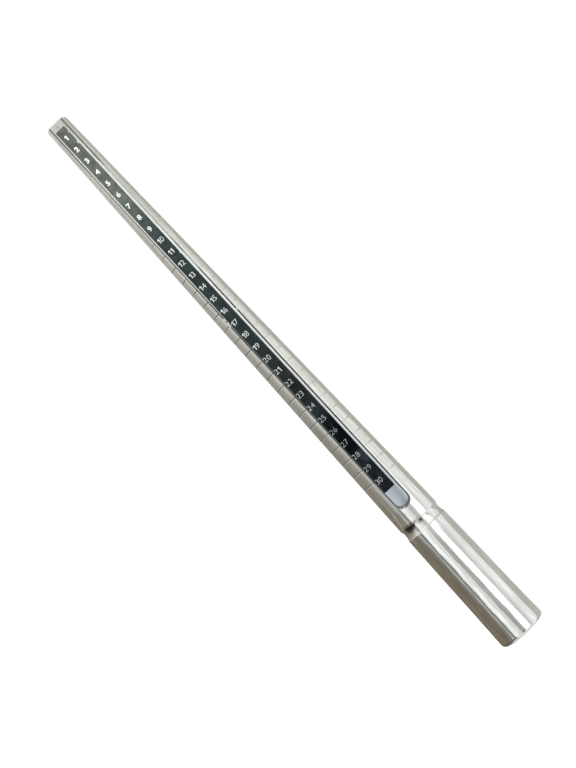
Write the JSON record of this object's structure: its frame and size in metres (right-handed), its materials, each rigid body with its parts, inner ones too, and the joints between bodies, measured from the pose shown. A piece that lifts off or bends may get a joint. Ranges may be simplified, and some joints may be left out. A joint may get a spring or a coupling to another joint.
{
  "type": "ring sizing stick",
  "caption": "Turned metal ring stick: a long taper with turned size lines and an inset numbered strip, above an undercut neck and a plain swelling handle.",
  "frame": {"origin": "centre of the flat end of the handle, on which the stick stands", "axes": "+Z along the stick's axis from the handle to the tip, -Y out of the numbered strip, +X to the right of the upright numerals"},
  "size_m": [0.0257, 0.0258, 0.3499],
  "materials": {
    "mandrel": "satin turned taper, polished band, neck and handle",
    "scale_strip": "satin",
    "scale_field": "matt black print"
  },
  "bodies": {
    "root": {"mandrel": "mandrel", "scale_strip": "scale_strip", "scale_field": "scale_field"}
  },
  "joints": []
}
